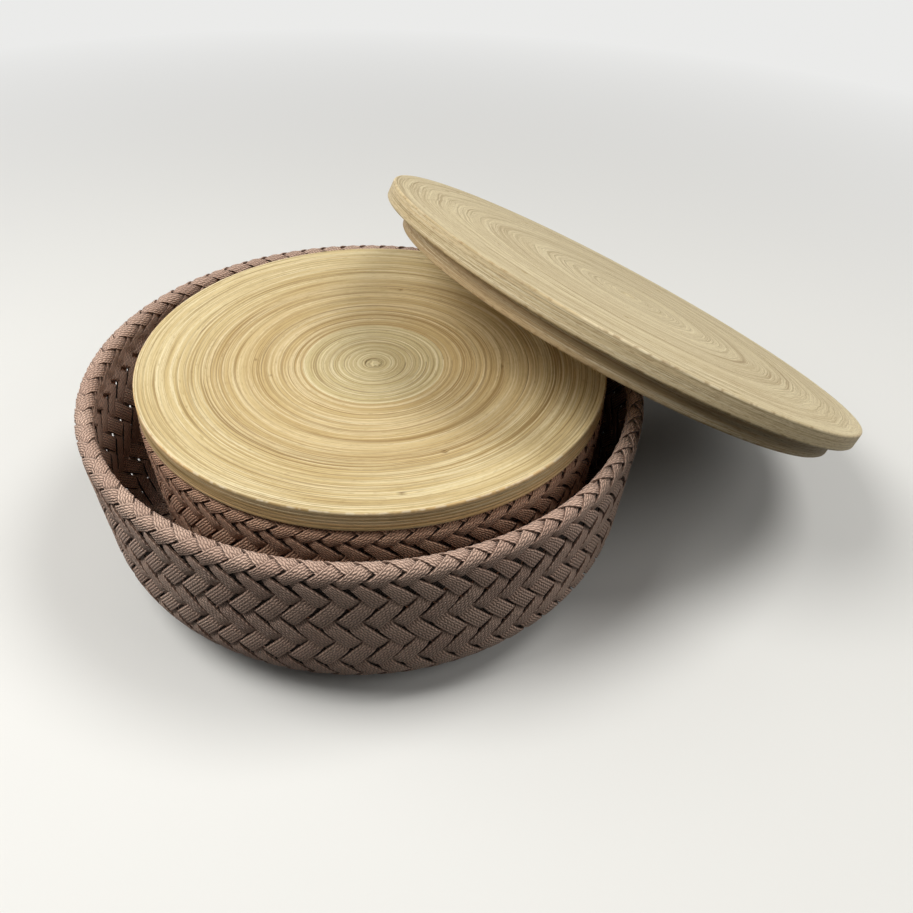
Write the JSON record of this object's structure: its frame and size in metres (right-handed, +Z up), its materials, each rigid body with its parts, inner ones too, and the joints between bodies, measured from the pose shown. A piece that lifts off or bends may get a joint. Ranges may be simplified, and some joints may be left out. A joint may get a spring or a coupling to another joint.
{
  "type": "lidded basket",
  "caption": "Round plaited tape basket with a smaller lidded basket nested inside it and its own coiled bamboo lid leaning on the rim.",
  "frame": {"origin": "middle of the large basket's flat underside, on the surface it stands on", "axes": "+Z up along the large basket's axis, +X to the right and +Y away as the set is seen from the front"},
  "size_m": [0.3797, 0.2942, 0.1646],
  "materials": {
    "large_tape": "dusty rose flat braided tape, plaited on the bias, matt",
    "small_tape": "dusty rose flat braided tape, plaited on the bias, matt",
    "rim_cord": "plain twisted cord, hidden in the border",
    "pale_bamboo": "coiled bamboo strip, sanded, thin clear varnish",
    "tan_bamboo": "coiled bamboo strip, sanded, thin clear varnish"
  },
  "bodies": {
    "large_basket": {"large_base": "large_tape", "large_wall": "large_tape", "large_border": "large_tape", "large_rim_core": "rim_cord", "large_tucked_ends": "large_tape"},
    "small_basket": {"small_base": "small_tape", "small_wall": "small_tape", "small_border": "small_tape", "small_rim_core": "rim_cord", "small_tucked_ends": "small_tape"},
    "small_lid": {"small_lid_core": "pale_bamboo", "small_lid_inner_coil": "pale_bamboo", "small_lid_outer_coil": "tan_bamboo", "small_lid_plug": "tan_bamboo"},
    "large_lid": {"large_lid_core": "pale_bamboo", "large_lid_inner_coil": "pale_bamboo", "large_lid_outer_coil": "tan_bamboo", "large_lid_plug": "tan_bamboo"}
  },
  "joints": [
    {"name": "small_basket_lift", "type": "slide", "parent": "large_basket", "child": "small_basket", "axis": [0, 0, 1], "range_m": [0, 0.11]},
    {"name": "small_lid_lift", "type": "slide", "parent": "small_basket", "child": "small_lid", "axis": [0, 0, 1], "range_m": [0, 0.06]},
    {"name": "large_lid_lift", "type": "slide", "parent": "small_lid", "child": "large_lid", "axis": [0, 0, 1], "range_m": [0, 0.12]}
  ]
}
